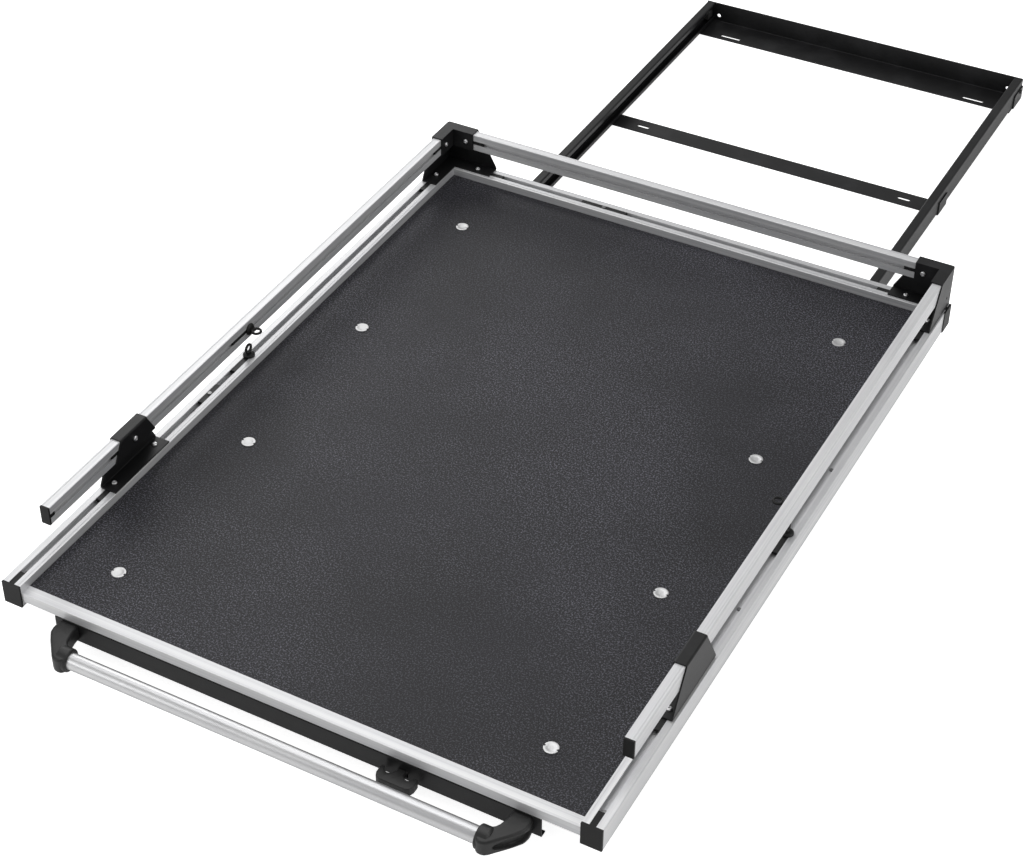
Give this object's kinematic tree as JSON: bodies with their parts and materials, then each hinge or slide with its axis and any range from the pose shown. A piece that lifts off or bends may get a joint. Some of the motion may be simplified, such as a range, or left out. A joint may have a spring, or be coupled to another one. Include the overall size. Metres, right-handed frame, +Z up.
{
  "type": "truck bed slide",
  "caption": "Roll-out truck bed deck on a bolted base frame, with slotted side extrusions, raised rails, tie-down eyes, pull handle and finger-trigger latch.",
  "frame": {"origin": "underside of the base, midway between the two bolt slots of the cab-end angle", "axes": "+X to the right across the truck, +Y towards the cab, +Z up"},
  "size_m": [1.223, 2.7945, 0.2],
  "materials": {
    "coated_steel": "satin black powder coat",
    "extruded_aluminium": "satin anodised",
    "polished_tube": "brushed",
    "phenolic_board": "plywood faced with dark textured phenolic film",
    "black_moulding": "moulded, fine grain",
    "black_casting": "die casting, black coated",
    "black_hardware": "blackened steel",
    "bright_hardware": "zinc plated",
    "roller_steel": "ground bearing steel",
    "bumper_rubber": "moulded rubber"
  },
  "bodies": {
    "base": {"base_rail_left": "coated_steel", "base_rail_right": "coated_steel", "base_rear_angle": "coated_steel", "base_middle_strap": "coated_steel", "base_front_strap": "coated_steel", "base_roller_axles": "bright_hardware", "travel_stop_pins": "bright_hardware", "end_bumpers": "bumper_rubber"},
    "base_roller_left": {"base_roller_left": "roller_steel"},
    "base_roller_right": {"base_roller_right": "roller_steel"},
    "deck_roller_left": {"deck_roller_left": "roller_steel"},
    "deck_roller_right": {"deck_roller_right": "roller_steel"},
    "release": {"release_trigger": "black_moulding", "pull_rod": "bright_hardware"},
    "crank": {"bell_crank": "coated_steel"},
    "latch": {"latch_pin": "bright_hardware"},
    "eye_upper_left": {"tie_down_upper_left": "black_casting", "tie_down_strip_upper_left": "black_hardware"},
    "eye_upper_right": {"tie_down_upper_right": "black_casting", "tie_down_strip_upper_right": "black_hardware"},
    "eye_lower_left": {"tie_down_lower_left": "black_casting", "tie_down_strip_lower_left": "black_hardware"},
    "eye_lower_right": {"tie_down_lower_right": "black_casting", "tie_down_strip_lower_right": "black_hardware"},
    "deck": {"bracket_nut_strips": "black_hardware", "bracket_screws": "bright_hardware", "corner_bracket_left": "coated_steel", "corner_bracket_right": "coated_steel", "crank_pivot": "bright_hardware", "cross_member_1": "coated_steel", "cross_member_2": "coated_steel", "cross_member_3": "coated_steel", "cross_member_4": "coated_steel", "deck_board": "phenolic_board", "deck_bolt_nuts": "bright_hardware", "deck_bolts": "bright_hardware", "deck_roller_axles": "bright_hardware", "deck_runner_left": "coated_steel", "deck_runner_right": "coated_steel", "front_crossbar": "extruded_aluminium", "front_plate": "coated_steel", "handle_arm_left": "black_casting", "handle_arm_right": "black_casting", "handle_screws": "black_hardware", "handle_tube": "polished_tube", "latch_guide": "coated_steel", "latch_spring": "bright_hardware", "rail_end_caps": "black_moulding", "rear_extrusion": "extruded_aluminium", "side_bracket_left": "coated_steel", "side_bracket_right": "coated_steel", "side_end_caps": "black_moulding", "side_extrusion_left": "extruded_aluminium", "side_extrusion_right": "extruded_aluminium", "slot_inserts": "black_hardware", "slot_screws": "black_hardware", "upper_rail_left": "extruded_aluminium", "upper_rail_rear": "extruded_aluminium", "upper_rail_right": "extruded_aluminium"}
  },
  "joints": [
    {"name": "deck_slide", "type": "slide", "parent": "base", "child": "deck", "axis": [0, 1, 0], "range_m": [0, 1.046]},
    {"name": "base_roller_left_spin", "type": "hinge", "parent": "base", "child": "base_roller_left", "pos_m": [-0.391, -1.548, 0.032], "axis": [1, 0, 0], "range_deg": [-2762.3, 0]},
    {"name": "base_roller_right_spin", "type": "hinge", "parent": "base", "child": "base_roller_right", "pos_m": [0.391, -1.548, 0.032], "axis": [1, 0, 0], "range_deg": [-2762.3, 0]},
    {"name": "deck_roller_left_spin", "type": "hinge", "parent": "deck", "child": "deck_roller_left", "pos_m": [-0.4155, -1.0295, 0.028], "axis": [1, 0, 0], "range_deg": [0, 2762.3]},
    {"name": "deck_roller_right_spin", "type": "hinge", "parent": "deck", "child": "deck_roller_right", "pos_m": [0.4155, -1.0295, 0.028], "axis": [1, 0, 0], "range_deg": [0, 2762.3]},
    {"name": "trigger_pull", "type": "slide", "parent": "deck", "child": "release", "axis": [0, -1, 0], "range_m": [0, 0.01], "stiffness_N_per_m": 600, "springref_m": -0.02},
    {"name": "crank_turn", "type": "hinge", "parent": "deck", "child": "crank", "pos_m": [0.265, -1.216, 0.03], "axis": [0, 0, 1], "range_deg": [0, 19.2]},
    {"name": "latch_draw", "type": "slide", "parent": "deck", "child": "latch", "axis": [-1, 0, 0], "range_m": [0, 0.01], "deforming": ["latch_spring"]},
    {"name": "eye_upper_left_slide", "type": "slide", "parent": "deck", "child": "eye_upper_left", "axis": [0, 1, 0], "range_m": [-0.31, 0.74]},
    {"name": "eye_upper_right_slide", "type": "slide", "parent": "deck", "child": "eye_upper_right", "axis": [0, 1, 0], "range_m": [-0.36, 0.72]},
    {"name": "eye_lower_left_slide", "type": "slide", "parent": "deck", "child": "eye_lower_left", "axis": [0, 1, 0], "range_m": [-0.05, 0.69]},
    {"name": "eye_lower_right_slide", "type": "slide", "parent": "deck", "child": "eye_lower_right", "axis": [0, 1, 0], "range_m": [-0.3, 0.66]}
  ],
  "couplings": [
    {"joint": "base_roller_left_spin", "follows": "deck_slide", "rad_per_m": -46.083},
    {"joint": "base_roller_right_spin", "follows": "deck_slide", "rad_per_m": -46.083},
    {"joint": "deck_roller_left_spin", "follows": "deck_slide", "rad_per_m": 46.083},
    {"joint": "deck_roller_right_spin", "follows": "deck_slide", "rad_per_m": 46.083},
    {"joint": "crank_turn", "follows": "trigger_pull", "rad_per_m": 33.333},
    {"joint": "latch_draw", "follows": "trigger_pull", "ratio": 1}
  ]
}
